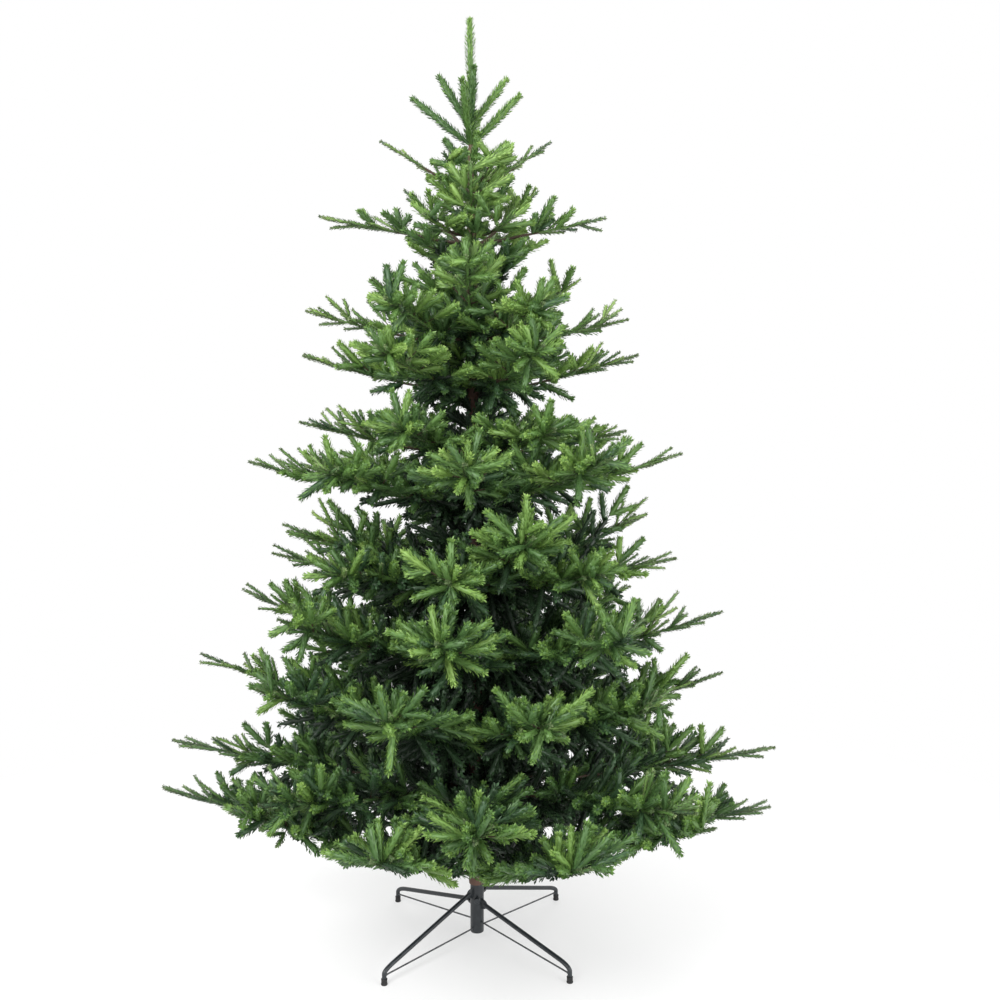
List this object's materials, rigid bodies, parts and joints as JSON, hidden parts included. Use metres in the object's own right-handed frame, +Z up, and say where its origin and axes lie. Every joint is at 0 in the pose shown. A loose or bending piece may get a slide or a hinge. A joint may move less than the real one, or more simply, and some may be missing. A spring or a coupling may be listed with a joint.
{
  "type": "artificial christmas tree",
  "caption": "Undecorated artificial spruce, slim at the top and full below, on a black four-legged metal stand with thin stay rods.",
  "frame": {"origin": "on the floor, below the middle of the tree, where the axis of the stand's tube meets it", "axes": "+Z up along the trunk, -Y towards the viewer of the picture, +X to the viewer's right"},
  "size_m": [1.4281, 1.2012, 2.1],
  "materials": {
    "black_paint": "smooth black paint with a faint blue tint",
    "black_rubber": "matt black rubber caps",
    "steel_rod": "thin dark grey rod",
    "brown_wrap": "matt dark brown wrapping tape on the pole and boughs",
    "needles": "matt green needles, lighter at the tips of the sprays"
  },
  "bodies": {
    "root": {"bough_1": "brown_wrap", "bough_2": "brown_wrap", "bough_3": "brown_wrap", "bough_4": "brown_wrap", "bough_5": "brown_wrap", "foliage_01_1": "needles", "foliage_01_2": "needles", "foliage_01_3": "needles", "foliage_01_4": "needles", "foliage_01_5": "needles", "foliage_02_1": "needles", "foliage_02_2": "needles", "foliage_02_3": "needles", "foliage_02_4": "needles", "foliage_03_1": "needles", "foliage_03_2": "needles", "foliage_03_3": "needles", "foliage_03_4": "needles", "foliage_03_5": "needles", "foliage_04_1": "needles", "foliage_04_2": "needles", "foliage_04_3": "needles", "foliage_04_4": "needles", "foliage_05_1": "needles", "foliage_05_2": "needles", "foliage_05_3": "needles", "foliage_05_4": "needles", "foliage_06_1": "needles", "foliage_06_2": "needles", "foliage_06_3": "needles", "foliage_06_4": "needles", "foliage_07_1": "needles", "foliage_07_2": "needles", "foliage_08_1": "needles", "foliage_08_2": "needles", "foliage_08_3": "needles", "foliage_09_1": "needles", "foliage_09_2": "needles", "foliage_09_3": "needles", "foliage_10_1": "needles", "foliage_10_2": "needles", "foliage_10_3": "needles", "foliage_11_1": "needles", "foliage_11_2": "needles", "foliage_top": "needles", "stand_foot_front_left": "black_rubber", "stand_foot_front_right": "black_rubber", "stand_foot_rear_left": "black_rubber", "stand_foot_rear_right": "black_rubber", "stand_leg_front_left": "black_paint", "stand_leg_front_right": "black_paint", "stand_leg_rear_left": "black_paint", "stand_leg_rear_right": "black_paint", "stand_stay_front_left": "steel_rod", "stand_stay_front_right": "steel_rod", "stand_stay_rear_left": "steel_rod", "stand_stay_rear_right": "steel_rod", "stand_thumb_screw": "black_paint", "stand_tube": "black_paint", "trunk": "brown_wrap"}
  },
  "joints": []
}
